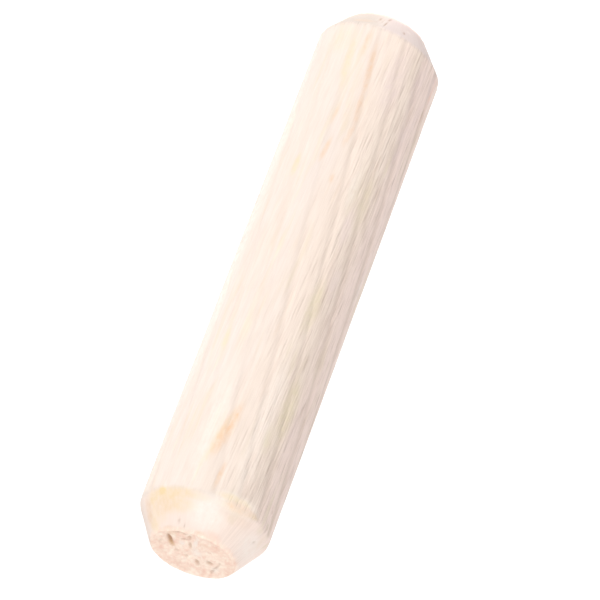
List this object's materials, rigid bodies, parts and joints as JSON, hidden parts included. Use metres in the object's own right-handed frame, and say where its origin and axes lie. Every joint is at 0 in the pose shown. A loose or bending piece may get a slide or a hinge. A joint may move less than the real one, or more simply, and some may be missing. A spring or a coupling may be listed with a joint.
{
  "type": "dowel pin",
  "caption": "Plain round wooden dowel pin with shallow spiral glue grooves and a lead-in cone cut on each end, the foot cone slightly off centre, for drilled and glued wood joints.",
  "frame": {"origin": "on the shank's axis, level with the foot face that the pin stands on", "axes": "+Z along the shank's axis to the top face; +X towards the side where the foot cone was cut off centre"},
  "size_m": [0.008, 0.008, 0.038],
  "materials": {
    "raw_wood": "raw, pale straight-grained wood, turned, rolled with shallow grooves and left unfinished"
  },
  "bodies": {
    "root": {"dowel_pin": "raw_wood"}
  },
  "joints": []
}
